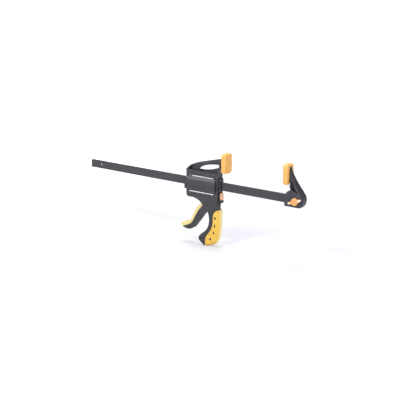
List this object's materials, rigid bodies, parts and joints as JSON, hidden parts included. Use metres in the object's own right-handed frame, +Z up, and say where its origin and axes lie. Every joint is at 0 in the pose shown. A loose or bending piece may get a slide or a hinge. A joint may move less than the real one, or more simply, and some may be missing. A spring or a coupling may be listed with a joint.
{
  "type": "quick release bar clamp",
  "caption": "One-handed bar clamp: a squeeze lever walks the moving jaw along a flat steel bar, a release lever frees it, and a wing knob holds the fixed jaw.",
  "frame": {"origin": "centre of the fixed jaw's clamping face", "axes": "+X along the bar, away from the moving jaw; +Z up, from the bar towards the jaws' tips; +Y across, away from the wing knob"},
  "size_m": [0.6217, 0.0323, 0.23],
  "materials": {
    "bar_steel": "satin",
    "black_plastic": "fine spark-eroded texture",
    "guide_plastic": "matt",
    "orange_pad": "soft matt",
    "orange_plastic": "satin",
    "yellow_grip": "soft matt",
    "bright_steel": "turned",
    "plate_steel": "blanked",
    "spring_steel": "drawn",
    "screw_steel": "blackened"
  },
  "bodies": {
    "bar_unit": {"bar": "bar_steel", "fixed_jaw": "black_plastic", "fixed_pad": "orange_pad"},
    "lock": {"lock_knob": "orange_plastic", "lock_pin": "bright_steel", "lock_ring": "bright_steel"},
    "carriage": {"shell_near": "black_plastic", "shell_far": "black_plastic", "grip_near": "yellow_grip", "grip_far": "yellow_grip", "moving_pad": "orange_pad", "shell_screws": "screw_steel", "rear_guide": "guide_plastic", "front_guide": "guide_plastic", "pivot_pin": "bright_steel", "release_pin": "bright_steel", "drive_spring": "spring_steel", "brake_spring": "spring_steel"},
    "squeeze_lever": {"lever": "black_plastic", "lever_grip": "yellow_grip"},
    "drive": {"drive_plate_front": "plate_steel", "drive_plate_rear": "plate_steel"},
    "brake": {"brake_plate": "plate_steel"},
    "release": {"release_lever": "black_plastic", "release_pad": "orange_plastic"}
  },
  "joints": [
    {"name": "carriage_slide", "type": "slide", "parent": "bar_unit", "child": "carriage", "axis": [1, 0, 0], "range_m": [-0.26, 0.153]},
    {"name": "lock_turn", "type": "hinge", "parent": "bar_unit", "child": "lock", "pos_m": [0.0316, 0, -0.0577], "axis": [0, -1, 0], "range_deg": [0, 90]},
    {"name": "lever_squeeze", "type": "hinge", "parent": "carriage", "child": "squeeze_lever", "pos_m": [-0.2075, 0, -0.0985], "axis": [0, -1, 0], "range_deg": [0, 17], "stiffness_Nm_per_rad": 1.2, "springref_deg": -8.59},
    {"name": "drive_push", "type": "slide", "parent": "carriage", "child": "drive", "axis": [-1, 0, 0], "range_m": [0, 0.0073], "deforming": ["drive_spring"]},
    {"name": "release_press", "type": "hinge", "parent": "carriage", "child": "release", "pos_m": [-0.1815, 0, -0.0975], "axis": [0, -1, 0], "range_deg": [0, 15], "stiffness_Nm_per_rad": 0.12, "springref_deg": -11.46},
    {"name": "brake_tilt", "type": "hinge", "parent": "carriage", "child": "brake", "pos_m": [-0.1875, 0, -0.0365], "axis": [0, 1, 0], "range_deg": [0, 6], "deforming": ["brake_spring"]}
  ],
  "couplings": [
    {"joint": "drive_push", "follows": "lever_squeeze", "m_per_rad": 0.0243},
    {"joint": "brake_tilt", "follows": "release_press", "ratio": 0.39}
  ]
}
